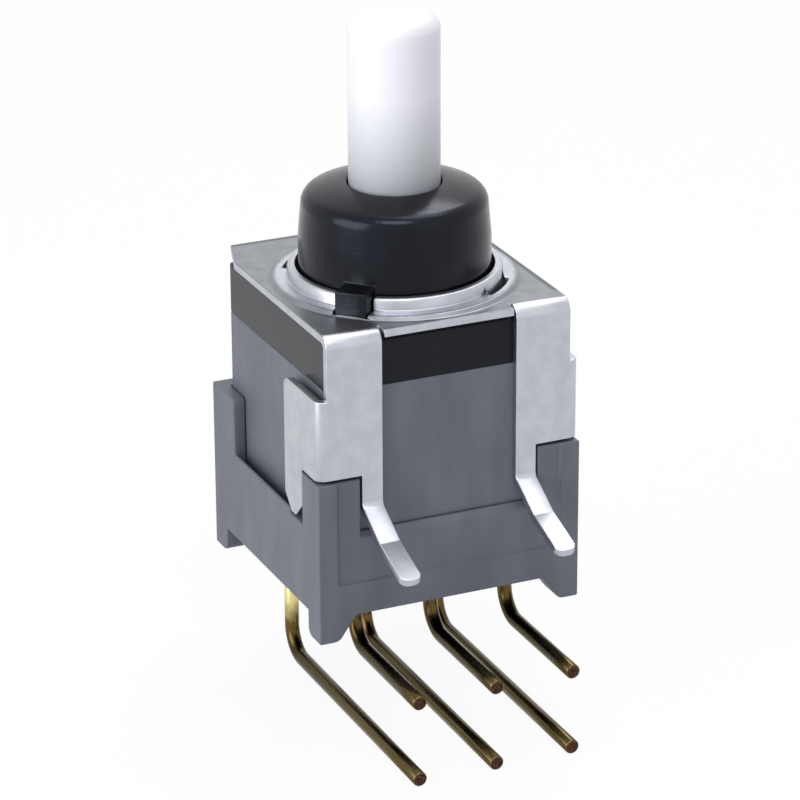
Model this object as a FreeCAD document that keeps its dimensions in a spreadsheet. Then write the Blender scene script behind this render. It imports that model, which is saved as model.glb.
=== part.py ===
# Ultra-miniature double-pole pushbutton switch for a circuit board. A straight plunger slides in
# a black bushing, a sheet-metal bracket straddles the grey case, and six terminals bend forward.
# Frame in millimetres: +Z along the plunger, -Y towards the board, +X to the right when the
# board side is seen from the front. The origin is on the plunger axis at the collar's top edge.
import FreeCAD
import Part
import Sketcher
import math
import os
import re

# Driving dimensions. Heights and places that follow from these are in LEVELS.
SIZES = {
    # terminals and contact pads
    "pitch": 2.54,
    "lead_radius": 0.23,
    "lead_bend": 0.9,
    "short_drop": 1.6,
    "tip_reach": 7.4,
    "pad_thick": 0.2,
    "pad_inner": 1.9,
    "pad_outer": 2.85,
    "centre_pad_half": 0.85,
    "pad_break": 0.7,
    "pad_margin": 0.3,
    # plunger
    "travel": 1.3,
    "plunger_radius": 1.4,
    "plunger_reach": 7.8,
    "tip_round": 0.4,
    "stop_gap": 0.13,
    "stop_thick": 0.48,
    "stem_radius": 1.2,
    "stem_land": 0.1,
    "tongue_half": 0.5,
    "tongue_end": 0.55,
    "tongue_clear": 0.45,
    "cam_pin_radius": 0.3,
    "cam_pin_half": 1.1,
    # bushing with its square cover flange
    "bushing_radius": 2.95,
    "bushing_straight": 0.9,
    "rim_taper": 0.09,
    "rim_height": 1.93,
    "shoulder_width": 0.27,
    "shoulder_rise": 0.42,
    "shoulder_radius": 0.46,
    "dome_rise": 0.67,
    "dome_radius": 5.0,
    "dome_hole_lip": 0.08,
    "bore_length": 1.25,
    "seal_ring_radius": 0.28,
    "washer_step": 0.2,
    "washer_thick": 0.25,
    "cover_flange": 1.6,
    "key_width": 1.0,
    "key_stand": 0.77,
    "key_top": 0.25,
    # return spring
    "spring_wire_radius": 0.12,
    "spring_radius": 1.78,
    "spring_turns": 3,
    # bracket
    "sheet_thick": 0.25,
    "collar_height": 0.5,
    "collar_gap": 0.1,
    "bead_width": 0.8,
    "bead_height": 0.12,
    "bead_slope": 0.12,
    "stake_stand": 0.23,
    "stake_width": 0.22,
    "stake_half": 0.8,
    "plate_overhang": 0.1,
    "plate_overhang_back": 0.78,
    "corner_cut_side": 0.48,
    "corner_cut_back": 1.5,
    "leg_bend": 0.42,
    "leg_gap": 0.1,
    "leg_relief": 0.08,
    "wing_drop": 2.0,
    "wing_back": 1.45,
    "wing_corner": 0.3,
    "tongue_slope": 0.5,
    "tongue_hold": 0.11,
    "tail_width": 0.68,
    "tail_gap": 0.07,
    "tail_lift": 1.0,
    "tail_bend": 0.35,
    "tail_dip": 30,
    "tail_run": 1.3,
    "tail_corner": 0.28,
    "tip_dip": 18,
    "tip_run": 1.72,
    # case
    "case_half": 3.9,
    "case_front": 3.76,
    "case_back": 3.9,
    "case_edge": 0.12,
    "case_height": 6.0,
    "case_top": 0.6,
    "case_wall": 0.55,
    # base
    "base_side_wall": 0.4,
    "base_front_wall": 0.28,
    "base_back_wall": 0.5,
    "floor_thick": 1.2,
    "front_wall": 2.65,
    "side_wall": 2.85,
    "front_post": 4.4,
    "front_post_depth": 1.3,
    "rear_post": 4.7,
    "rear_post_depth": 1.73,
    "post_round": 0.15,
    "wall_chamfer": 0.25,
    "lead_in_width": 0.3,
    "lead_in_depth": 0.6,
    "slot_depth": 0.17,
    "face_step": 0.06,
    "face_step_rise": 1.05,
    "face_step_margin": 0.63,
    "foot_width": 1.2,
    "foot_depth": 0.95,
    "foot_height": 0.8,
    "foot_taper": 0.56,
    "foot_round": 0.3,
    "resin_side": 0.28,
    "resin_end": 0.63,
    "resin_depth": 0.4,
    "resin_sink": 0.05,
    # contact carrier, contacts and contact springs
    "carrier_end_gap": 0.15,
    "carrier_side_gap": 0.26,
    "runner_half": 1.4,
    "arm_lift": 0.3,
    "arm_thick": 0.95,
    "cheek_half": 1.5,
    "cheek_thick": 0.6,
    "cheek_above_pin": 0.65,
    "contact_half": 1.65,
    "contact_width": 0.8,
    "contact_sheet": 0.12,
    "contact_depth": 0.35,
    "contact_shift": 0.07,
    "contact_bar_foot": 0.1,
    "contact_bar_root": 0.2,
    "contact_split": 0.14,
    "contact_split_length": 0.9,
    "leaf_thick": 0.08,
    "leaf_half": 1.2,
    "leaf_width": 0.6,
    "pocket_roof": 0.2,
    # clearances
    "running_gap": 0.05,
    "rest_gap": 0.02,
    "case_gap": 0.03,
    # how far a cut's outline stands out past the piece
    "cut_margin": 1,
}

# Heights above the origin and places across it, each worked out from the sizes.
LEVELS = {
    "plate_top": "-collar_height",
    "plate_under": "plate_top - sheet_thick",
    "cover_under": "plate_under - cover_flange",
    "ceiling_under": "cover_under - case_top",
    "floor_top": "cover_under - case_height",
    "base_under": "floor_top - floor_thick",
    "foot_under": "base_under - foot_height",
    "dome_top": "rim_height + dome_rise",
    "rim_radius": "bushing_radius - rim_taper",
    "key_reach": "bushing_radius + key_stand",
    "bore_under": "dome_top - bore_length",
    "bore_radius": "plunger_radius + running_gap",
    "seal_ring_centre": "bore_radius + seal_ring_radius",
    "seal_bore": "seal_ring_centre + seal_ring_radius + 2 * rest_gap",
    "seal_under": "bore_under - 2 * (seal_ring_radius + rest_gap)",
    "washer_radius": "seal_bore + washer_step",
    "washer_under": "seal_under - washer_thick",
    "stop_radius": "washer_radius - stop_gap",
    "stop_top": "washer_under - rest_gap",
    "stop_under": "stop_top - stop_thick",
    "pad_top": "floor_top + pad_thick",
    "bar_under": "pad_top + rest_gap",
    "contact_under": "bar_under + contact_depth",
    "contact_top": "contact_under + contact_sheet",
    "contact_row": "(pad_inner + pad_outer) / 2",
    "contact_reach": "centre_pad_half + pad_break / 2 + contact_shift",
    "carrier_centre": "-travel / 2",
    "runner_under": "floor_top + rest_gap",
    "arm_under": "pad_top + arm_lift",
    "arm_top": "arm_under + arm_thick",
    "roof_level": "arm_top - pocket_roof",
    "cam_level": "arm_top + tongue_clear + travel + tongue_end",
    "stem_under": "cam_level - tongue_end",
    "cheek_inner": "tongue_half + running_gap",
    "cheek_outer": "cheek_inner + cheek_thick",
    "cheek_top": "cam_level + cheek_above_pin",
    "cam_slot_radius": "cam_pin_radius + running_gap",
    "cavity_half": "case_half - case_wall",
    "cavity_front": "case_front - case_wall",
    "cavity_back": "case_back - case_wall",
    "outer_pad_end": "cavity_half - pad_margin",
    "carrier_half": "cavity_half - travel / 2 - carrier_end_gap",
    "carrier_side": "cavity_front - carrier_side_gap",
    "base_half": "case_half + case_gap + base_side_wall",
    "base_front": "case_front + case_gap + base_front_wall",
    "base_back": "case_back + case_gap + base_back_wall",
    "front_wall_top": "base_under + front_wall",
    "side_wall_top": "base_under + side_wall",
    "front_post_top": "base_under + front_post",
    "rear_post_top": "base_under + rear_post",
    "tallest_post": "max(front_post; rear_post)",
    "gap_half": "pitch + tail_width / 2 + tail_gap",
    "resin_half": "pitch + lead_radius + resin_side",
    "resin_reach": "pitch + lead_radius + resin_end",
    "collar_radius": "bushing_radius + collar_gap",
    "lip_ease": "sheet_thick / 2 * (1 - cos(45))",
    "bead_radius": "collar_radius + bead_width",
    "stake_inner": "collar_radius + stake_stand",
    "stake_outer": "stake_inner + stake_width",
    "plate_half": "case_half + plate_overhang",
    "plate_back": "case_back + plate_overhang_back",
    "leg_inner": "pitch - tail_width / 2",
    "leg_outer": "case_front + sheet_thick",
    "leg_under": "front_post_top + leg_gap",
    "wing_top": "plate_top - wing_drop",
    "wing_inner": "base_half - sheet_thick",
    "wing_root": "(leg_inner + plate_half) / 2",
    "wing_bend": "base_half - plate_half",
    "tongue_front": "base_front - front_post_depth - rest_gap",
    "slot_floor": "side_wall_top - slot_depth",
    "slot_back": "wing_back + tongue_slope - 3 * running_gap",
    "tongue_under": "slot_floor + tongue_hold",
    "tail_mid": "leg_outer - sheet_thick / 2",
    "bend_level": "front_wall_top + tail_lift",
    "first_turn": "90 - tail_dip",
    "first_y": "tail_mid + tail_bend * (1 - cos(first_turn))",
    "first_z": "bend_level - tail_bend * sin(first_turn)",
    "second_y": "first_y + tail_run * cos(tail_dip)",
    "second_z": "first_z - tail_run * sin(tail_dip)",
    "third_y": "second_y + tail_bend * (sin(tail_dip) - sin(tip_dip))",
    "third_z": "second_z + tail_bend * (cos(tail_dip) - cos(tip_dip))",
    "tip_y": "third_y + tip_run * cos(tip_dip)",
    "tip_z": "third_z - tip_run * sin(tip_dip)",
}

# Flat sides that stand for a round section where a curved path would take too many facets.
SEAL_SIDES = 6
SPRING_SIDES = 5
BEND_SIDES = 8
RESIN_HOLE_SIDES = 12

# Degrees about the plunger axis, from +X: the key's corner and the first of the three arc slots.
KEY_TURN = 225
SLOT_TURN = -45

doc = FreeCAD.newDocument("pushbutton_switch")
sheet = doc.addObject("Spreadsheet::Sheet", "size")
for row, (name, number) in enumerate(SIZES.items(), start=1):
    sheet.set(f"A{row}", name.replace("_", " "))
    sheet.set(f"B{row}", str(number))
    sheet.setAlias(f"B{row}", name)
doc.recompute()


# An expression on the sheet's cells, from a text in the names of SIZES and LEVELS.
def bound(text):
    def swap(match):
        word = match[0]
        if word in LEVELS:
            return "(" + bound(LEVELS[word]) + ")"
        return "size." + word if word in SIZES else word

    return re.sub(r"[a-z][a-z_]*", swap, text)


def value(text):
    return float(sheet.evalExpression(bound(text)))


def newBody(name):
    body = doc.addObject("PartDesign::Body", name)
    body.Label = name
    return body


def originPlane(body, role):
    return next(item for item in body.Origin.OriginFeatures if item.Role == role)


# A sketch on one of the body's own planes, moved along the plane's normal and turned about it.
def newSketch(body, role, offset="0", turn=0):
    sketch = body.newObject("Sketcher::SketchObject", body.Name + "_sketch")
    sketch.AttachmentSupport = [(originPlane(body, role), "")]
    sketch.MapMode = "FlatFace"
    turned = FreeCAD.Rotation(FreeCAD.Vector(0, 0, 1), turn)
    sketch.AttachmentOffset = FreeCAD.Placement(FreeCAD.Vector(0, 0, 0), turned)
    sketch.setExpression("AttachmentOffset.Base.z", bound(offset))
    return sketch


def pinPoint(sketch, edge, end, across, up):
    for kind, text in (("DistanceX", across), ("DistanceY", up)):
        index = sketch.addConstraint(Sketcher.Constraint(kind, -1, 1, edge, end, value(text)))
        sketch.setExpression(f"Constraints[{index}]", bound(text))


# The arc from one point to the next with the given radius, turning left when it is positive.
def arcBetween(start, end, radius):
    middle = (start + end) / 2
    half = (end - start) / 2
    lift = math.sqrt(max(radius**2 - half.Length**2, 0))
    left = FreeCAD.Vector(-half.y, half.x, 0).normalize()
    centre = middle + left * math.copysign(lift, radius)
    first, last = (start, end) if radius > 0 else (end, start)
    angles = [math.atan2(p.y - centre.y, p.x - centre.x) for p in (first, last)]
    circle = Part.Circle(centre, FreeCAD.Vector(0, 0, 1), abs(radius))
    return Part.ArcOfCircle(circle, angles[0], angles[1])


# Lines through the corners, each (across, up) or (across, up, radius of the arc that leaves it).
# Returns each edge's number with its first and last end.
def drawPath(sketch, corners, closed):
    count = len(corners) if closed else len(corners) - 1
    edges = []
    for i in range(count):
        here, there = corners[i], corners[(i + 1) % len(corners)]
        start = FreeCAD.Vector(value(here[0]), value(here[1]), 0)
        end = FreeCAD.Vector(value(there[0]), value(there[1]), 0)
        ends = (1, 2)
        if len(here) > 2:
            radius = value(here[2])
            number = sketch.addGeometry(arcBetween(start, end, radius), False)
            ends = (1, 2) if radius > 0 else (2, 1)
            index = sketch.addConstraint(Sketcher.Constraint("Radius", number, abs(radius)))
            sketch.setExpression(f"Constraints[{index}]", bound(f"abs({here[2]})"))
        else:
            number = sketch.addGeometry(Part.LineSegment(start, end), False)
        edges.append((number, *ends))
        pinPoint(sketch, number, ends[0], here[0], here[1])
    for i, (number, _, last) in enumerate(edges):
        if closed or i < count - 1:
            follower, first, _ = edges[(i + 1) % count]
            sketch.addConstraint(Sketcher.Constraint("Coincident", number, last, follower, first))
    if not closed:
        pinPoint(sketch, edges[-1][0], edges[-1][2], corners[-1][0], corners[-1][1])


def drawOutline(sketch, corners):
    drawPath(sketch, corners, True)


def drawRectangle(sketch, left, right, low, high):
    drawOutline(sketch, [(left, low), (right, low), (right, high), (left, high)])


def drawCircle(sketch, across, up, radius):
    centre = FreeCAD.Vector(value(across), value(up), 0)
    circle = Part.Circle(centre, FreeCAD.Vector(0, 0, 1), value(radius))
    number = sketch.addGeometry(circle, False)
    index = sketch.addConstraint(Sketcher.Constraint("Radius", number, value(radius)))
    sketch.setExpression(f"Constraints[{index}]", bound(radius))
    pinPoint(sketch, number, 3, across, up)


# A regular polygon with its corners on a circle and a level side at the top.
def drawPolygon(sketch, across, up, radius, sides):
    step = 360 / sides
    drawOutline(sketch, [
        (
            f"{across} + {radius} * cos({90 + (i + 0.5) * step})",
            f"{up} + {radius} * sin({90 + (i + 0.5) * step})",
        )
        for i in range(sides)
    ])


# A round-ended slot between two centres: two arcs joined by tangent lines.
def drawSlot(sketch, start, end, radius):
    first = FreeCAD.Vector(value(start[0]), value(start[1]), 0)
    last = FreeCAD.Vector(value(end[0]), value(end[1]), 0)
    size = value(radius)
    along = math.atan2(last.y - first.y, last.x - first.x)
    side = FreeCAD.Vector(-math.sin(along), math.cos(along), 0) * size
    quarter = math.pi / 2
    upward = FreeCAD.Vector(0, 0, 1)
    turns = ((first, along + quarter), (last, along - quarter))
    arcs = [
        Part.ArcOfCircle(Part.Circle(centre, upward, size), angle, angle + 2 * quarter)
        for centre, angle in turns
    ]
    low = Part.LineSegment(first - side, last - side)
    high = Part.LineSegment(last + side, first + side)
    for geometry in (arcs[0], low, arcs[1], high):
        sketch.addGeometry(geometry, False)
    for edge in range(4):
        sketch.addConstraint(Sketcher.Constraint("Tangent", edge, 2, (edge + 1) % 4, 1))
    sketch.addConstraint(Sketcher.Constraint("Equal", 0, 2))
    index = sketch.addConstraint(Sketcher.Constraint("Radius", 0, size))
    sketch.setExpression(f"Constraints[{index}]", bound(radius))
    pinPoint(sketch, 0, 3, *start)
    pinPoint(sketch, 2, 3, *end)


def addFeature(body, kind, profile):
    feature = body.newObject("PartDesign::" + kind, f"{body.Name}_{kind.lower()}")
    feature.Profile = profile
    return feature


def pad(body, sketch, length, side="One side", backwards=False):
    feature = addFeature(body, "Pad", sketch)
    feature.SideType = side
    feature.Reversed = backwards
    feature.setExpression("Length", bound(length))
    return feature


# A cut from the sketch against its normal, or along it when backwards. No length cuts all.
def pocket(body, sketch, length=None, side="One side", backwards=False):
    doc.recompute()
    before = body.Shape.Volume
    feature = addFeature(body, "Pocket", sketch)
    feature.SideType = side
    feature.Reversed = backwards
    if length:
        feature.setExpression("Length", bound(length))
    else:
        feature.Type = "ThroughAll"
    doc.recompute()
    if not feature.Shape.Volume < before - 1e-6:
        raise RuntimeError(feature.Name + " cuts nothing")
    return feature


def revolve(body, sketch, kind="Revolution"):
    feature = addFeature(body, kind, sketch)
    feature.ReferenceAxis = (sketch, ["V_Axis"])
    feature.Angle = 360
    return feature


def mirror(body, features, role):
    copy = body.newObject("PartDesign::Mirrored", body.Name + "_mirrored")
    copy.Originals = features
    copy.MirrorPlane = (originPlane(body, role), [""])
    body.Tip = copy
    return copy


# A fillet or chamfer on the edges that the test picks.
def dress(body, kind, name, text, picks):
    doc.recompute()
    base = body.Tip
    edges = base.Shape.Edges
    chosen = [f"Edge{i}" for i, edge in enumerate(edges, start=1) if picks(edge)]
    if not chosen:
        raise RuntimeError(f"{body.Name} has no edge for its {name}")
    feature = body.newObject("PartDesign::" + kind, f"{body.Name}_{name}")
    feature.Base = (base, chosen)
    feature.setExpression("Radius" if kind == "Fillet" else "Size", bound(text))
    return feature


def near(number, text):
    return abs(number - value(text)) < 1e-4


def runsAlong(edge, axis):
    ends = [vertex.Point for vertex in edge.Vertexes]
    if len(ends) < 2 or edge.Curve.TypeId != "Part::GeomLine":
        return False
    step = ends[1] - ends[0]
    return abs(step.normalize()[axis]) > 0.999


def atLevel(edge, text):
    box = edge.BoundBox
    return near(box.ZMin, text) and near(box.ZMax, text)


# Bushing: a round neck with a domed top and a key, moulded in one with the square flange that
# closes the case. The plunger's bore, seal seat and spring chamber are turned out of it.
def makeBushing():
    body = newBody("bushing")
    flange = newSketch(body, "XY_Plane", "cover_under")
    drawRectangle(flange, "-case_half", "case_half", "-case_front", "case_back")
    pad(body, flange, "cover_flange")
    bendSide = lambda edge: runsAlong(edge, 0) and atLevel(edge, "plate_under") and near(
        edge.BoundBox.YMax, "-case_front"
    )
    dress(body, "Chamfer", "bend_side", "leg_bend - sheet_thick + running_gap", bendSide)
    dress(body, "Fillet", "edges", "case_edge", lambda edge: runsAlong(edge, 2))
    key = newSketch(body, "XY_Plane", "plate_under", KEY_TURN)
    drawRectangle(key, "0", "key_reach", "-key_width / 2", "key_width / 2")
    pad(body, key, "key_top - plate_under")
    neck = newSketch(body, "XZ_Plane")
    drawOutline(neck, [
        ("0", "cover_under"),
        ("bushing_radius", "cover_under"),
        ("bushing_radius", "bushing_straight"),
        ("rim_radius", "rim_height", "shoulder_radius"),
        ("rim_radius - shoulder_width", "rim_height + shoulder_rise", "dome_radius"),
        ("bore_radius + dome_hole_lip", "dome_top"),
        ("0", "dome_top"),
    ])
    revolve(body, neck)
    hollow = newSketch(body, "XZ_Plane")
    drawOutline(hollow, [
        ("0", "cover_under - cut_margin"),
        ("washer_radius", "cover_under - cut_margin"),
        ("washer_radius", "seal_under"),
        ("seal_bore", "seal_under"),
        ("seal_bore", "bore_under"),
        ("bore_radius", "bore_under"),
        ("bore_radius", "dome_top + cut_margin"),
        ("0", "dome_top + cut_margin"),
    ])
    revolve(body, hollow, "Groove")
    return body


def makePlunger():
    body = newBody("plunger")
    section = newSketch(body, "XZ_Plane")
    drawOutline(section, [
        ("0", "stem_under"),
        ("stem_radius", "stem_under"),
        ("stem_radius", "stop_under"),
        ("stop_radius", "stop_under"),
        ("stop_radius", "stop_top"),
        ("plunger_radius", "stop_top"),
        ("plunger_radius", "plunger_reach - tip_round", "tip_round"),
        ("plunger_radius - tip_round", "plunger_reach"),
        ("0", "plunger_reach"),
    ])
    revolve(body, section)
    # Two flats leave a tongue that hangs between the carrier's cheeks.
    flats = newSketch(body, "XY_Plane", "cover_under - stem_land")
    beyond = "stem_radius + cut_margin"
    drawRectangle(flats, f"-({beyond})", beyond, "tongue_half", beyond)
    drawRectangle(flats, f"-({beyond})", beyond, f"-({beyond})", "-tongue_half")
    pocket(body, flats)
    hole = newSketch(body, "XZ_Plane")
    drawCircle(hole, "0", "cam_level", "cam_pin_radius")
    pocket(body, hole, side="Symmetric")
    return body


def makeCamPin():
    pin = doc.addObject("Part::Cylinder", "cam_pin")
    pin.Label = "cam_pin"
    pin.setExpression("Radius", bound("cam_pin_radius"))
    pin.setExpression("Height", bound("2 * cam_pin_half"))
    pin.Placement = FreeCAD.Placement(
        FreeCAD.Vector(0, 0, 0), FreeCAD.Rotation(FreeCAD.Vector(1, 0, 0), 90)
    )
    pin.setExpression("Placement.Base.y", bound("cam_pin_half"))
    pin.setExpression("Placement.Base.z", bound("cam_level"))
    return pin


# A rubber ring between the plunger and the bushing.
def makeSeal():
    body = newBody("plunger_seal")
    section = newSketch(body, "XZ_Plane")
    middle = "(bore_under + seal_under) / 2"
    drawPolygon(section, "seal_ring_centre", middle, "seal_ring_radius", SEAL_SIDES)
    revolve(body, section)
    return body


def makeSealWasher():
    body = newBody("seal_washer")
    face = newSketch(body, "XY_Plane", "washer_under")
    drawCircle(face, "0", "0", "washer_radius")
    drawCircle(face, "0", "0", "bore_radius")
    pad(body, face, "washer_thick")
    return body


# Return spring: a wire coiled between the case top and the plunger's stop flange.
def makeReturnSpring():
    free = "stop_under - cover_under - 2 * (spring_wire_radius + rest_gap)"
    start = "cover_under + spring_wire_radius + rest_gap"
    helix = doc.addObject("Part::Helix", "return_spring_path")
    helix.setExpression("Radius", bound("spring_radius"))
    helix.setExpression("Height", bound(free))
    helix.setExpression("Pitch", bound(f"({free}) / spring_turns"))
    helix.setExpression("Placement.Base.z", bound(start))
    wire = doc.addObject("Part::RegularPolygon", "return_spring_wire")
    wire.Polygon = SPRING_SIDES
    wire.setExpression("Circumradius", bound("spring_wire_radius"))
    wire.Placement = FreeCAD.Placement(
        FreeCAD.Vector(0, 0, 0), FreeCAD.Rotation(FreeCAD.Vector(1, 0, 0), 90)
    )
    wire.setExpression("Placement.Base.x", bound("spring_radius"))
    wire.setExpression("Placement.Base.z", bound(start))
    spring = doc.addObject("Part::Sweep", "return_spring")
    spring.Label = "return_spring"
    spring.Sections = [wire]
    spring.Spine = (helix, ["Edge1"])
    spring.Solid = True
    spring.Frenet = True
    return spring


def drawBackCorners(sketch, half, back, cut_side, cut_back, front):
    drawOutline(sketch, [
        (f"-({half})", f"-({front})"),
        (half, f"-({front})"),
        (half, f"{back} - {cut_back}"),
        (f"{half} - {cut_side}", back),
        (f"-({half} - {cut_side})", back),
        (f"-({half})", f"{back} - {cut_back}"),
    ])


# Bracket: one blank of tinned sheet. The hole for the bushing is drawn up into a collar, and at
# the front two legs fold down, wrap the case's corners as wings and end in tongues and tails.
def makeBracket():
    body = newBody("bracket")
    plate = newSketch(body, "XY_Plane", "plate_under")
    drawBackCorners(
        plate, "plate_half", "plate_back", "corner_cut_side", "corner_cut_back",
        "leg_outer - leg_bend",
    )
    pad(body, plate, "sheet_thick")
    front = newSketch(body, "XY_Plane", "plate_under")
    drawRectangle(
        front, "-(leg_inner - leg_relief)", "leg_inner - leg_relief",
        "-leg_outer", "-(leg_outer - leg_bend)",
    )
    pad(body, front, "sheet_thick")
    ring = newSketch(body, "XZ_Plane")
    drawOutline(ring, [
        ("collar_radius - sheet_thick", "plate_under"),
        ("bead_radius", "plate_under"),
        ("bead_radius", "plate_top"),
        ("bead_radius - bead_slope", "plate_top + bead_height"),
        ("collar_radius + sheet_thick", "plate_top + bead_height"),
        ("collar_radius + sheet_thick", "-sheet_thick / 2"),
        ("collar_radius + sheet_thick - lip_ease", "-lip_ease"),
        ("collar_radius + sheet_thick / 2", "0"),
        ("collar_radius - sheet_thick", "0"),
    ])
    revolve(body, ring)
    hole = newSketch(body, "XY_Plane")
    drawCircle(hole, "0", "0", "collar_radius")
    pocket(body, hole, side="Symmetric")
    stake = newSketch(body, "XY_Plane", turn=SLOT_TURN)
    inner = "sqrt(stake_inner ^ 2 - stake_half ^ 2)"
    outer = "sqrt(stake_outer ^ 2 - stake_half ^ 2)"
    drawOutline(stake, [
        (inner, "-stake_half"),
        (outer, "-stake_half", "stake_outer"),
        (outer, "stake_half"),
        (inner, "stake_half", "-stake_inner"),
    ])
    slot = pocket(body, stake, side="Symmetric")
    slots = body.newObject("PartDesign::PolarPattern", "bracket_slots")
    slots.Originals = [slot]
    slots.Axis = (stake, ["N_Axis"])
    slots.Angle = 180
    slots.Occurrences = 3
    body.Tip = slots
    keyway = newSketch(body, "XY_Plane", turn=KEY_TURN)
    drawRectangle(
        keyway, "0", "key_reach + running_gap",
        "-(key_width / 2 + running_gap)", "key_width / 2 + running_gap",
    )
    pocket(body, keyway, side="Symmetric")
    leg = newSketch(body, "YZ_Plane", "leg_inner")
    drawOutline(leg, [
        ("-(leg_outer - leg_bend)", "plate_top", "leg_bend"),
        ("-leg_outer", "plate_top - leg_bend"),
        ("-leg_outer", "leg_under"),
        ("-(leg_outer - sheet_thick)", "leg_under"),
        ("-(leg_outer - sheet_thick)", "plate_top - leg_bend", "-(leg_bend - sheet_thick)"),
        ("-(leg_outer - leg_bend)", "plate_under"),
    ])
    legPad = pad(body, leg, "plate_half - leg_inner")
    wing = newSketch(body, "XY_Plane", "leg_under")
    drawOutline(wing, [
        ("wing_root", "-leg_outer"),
        ("plate_half", "-leg_outer", "wing_bend"),
        ("base_half", "-(leg_outer - wing_bend)"),
        ("base_half", "-wing_back"),
        ("wing_inner", "-wing_back"),
        ("wing_inner", "-(leg_outer - wing_bend)", "-(wing_bend - sheet_thick)"),
        ("plate_half", "-case_front"),
        ("wing_root", "-case_front"),
    ])
    wingPad = pad(body, wing, "wing_top - leg_under")
    tongue = newSketch(body, "YZ_Plane", "wing_inner")
    drawOutline(tongue, [
        ("-tongue_front", "leg_under + sheet_thick"),
        ("-tongue_front", "tongue_under + tongue_slope"),
        ("-(tongue_front - tongue_slope)", "tongue_under"),
        ("-(wing_back + tongue_slope)", "tongue_under"),
        ("-wing_back", "tongue_under + tongue_slope"),
        ("-wing_back", "leg_under + sheet_thick"),
    ])
    tonguePad = pad(body, tongue, "sheet_thick")
    tailEnd = newSketch(body, "XY_Plane", "leg_under")
    drawRectangle(
        tailEnd, "pitch - tail_width / 2", "pitch + tail_width / 2",
        "-leg_outer", "-case_front",
    )
    tailPath = newSketch(body, "YZ_Plane", "pitch")
    drawPath(tailPath, [
        ("-tail_mid", "leg_under"),
        ("-tail_mid", "bend_level", "-tail_bend"),
        ("-first_y", "first_z"),
        ("-second_y", "second_z", "-tail_bend"),
        ("-third_y", "third_z"),
        ("-tip_y", "tip_z"),
    ], False)
    doc.recompute()
    tail = addFeature(body, "AdditivePipe", tailEnd)
    tail.Spine = (tailPath, [f"Edge{i}" for i in range(1, 6)])
    mirror(body, [legPad, wingPad, tonguePad, tail], "YZ_Plane")
    wingCorner = lambda edge: runsAlong(edge, 0) and atLevel(edge, "wing_top") and near(
        edge.BoundBox.YMax, "-wing_back"
    )
    dress(body, "Fillet", "wing_corners", "wing_corner", wingCorner)
    tailCorner = lambda edge: near(edge.Length, "sheet_thick") and (
        edge.CenterOfMass.y < -value("third_y")
    )
    dress(body, "Fillet", "tail_corners", "tail_corner", tailCorner)
    return body


def makeCase():
    body = newBody("case")
    block = newSketch(body, "XY_Plane", "floor_top")
    drawRectangle(block, "-case_half", "case_half", "-case_front", "case_back")
    pad(body, block, "case_height")
    dress(body, "Fillet", "edges", "case_edge", lambda edge: runsAlong(edge, 2))
    cavity = newSketch(body, "XY_Plane", "ceiling_under")
    drawRectangle(cavity, "-cavity_half", "cavity_half", "-cavity_front", "cavity_back")
    pocket(body, cavity)
    hole = newSketch(body, "XY_Plane")
    drawCircle(hole, "0", "0", "stem_radius + running_gap")
    pocket(body, hole, side="Symmetric")
    return body


# The six terminal places: (column, row), with the row -1 at the board side.
def terminalPlaces():
    return [(column, row) for row in (-1, 1) for column in (-1, 0, 1)]


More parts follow.
